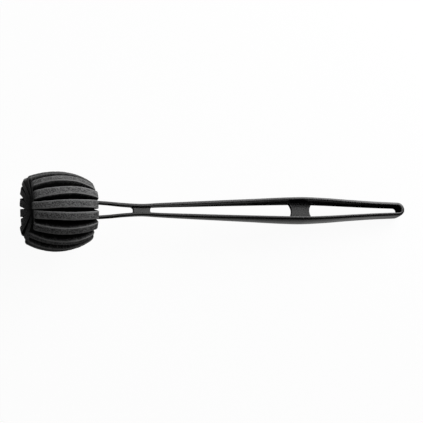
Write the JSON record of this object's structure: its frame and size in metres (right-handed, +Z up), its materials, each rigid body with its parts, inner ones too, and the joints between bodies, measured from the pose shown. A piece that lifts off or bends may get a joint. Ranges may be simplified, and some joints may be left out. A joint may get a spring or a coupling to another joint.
{
  "type": "carafe brush",
  "caption": "Long open-frame carafe brush: a forked plastic handle with a hanging loop carries a slide-off head of radial foam leaves.",
  "frame": {"origin": "on the surface that the brush lies on, under the middle of its box", "axes": "+X along the brush from the foam head towards the hanging loop, +Z up; the handle's broad face looks up, tilted 4.6 degrees towards +X"},
  "size_m": [0.4026, 0.0743, 0.074],
  "materials": {
    "handle_plastic": "satin",
    "head_foam": "matte"
  },
  "bodies": {
    "handle": {"handle": "handle_plastic"},
    "foam_head": {"foam_leaf_1": "head_foam", "foam_leaf_2": "head_foam", "foam_leaf_3": "head_foam", "foam_leaf_4": "head_foam", "foam_leaf_5": "head_foam", "foam_leaf_6": "head_foam", "foam_leaf_7": "head_foam", "foam_leaf_8": "head_foam"}
  },
  "joints": [
    {"name": "head_slide", "type": "slide", "parent": "handle", "child": "foam_head", "axis": [-0.9967, 0, 0.0807], "range_m": [0, 0.06]}
  ]
}
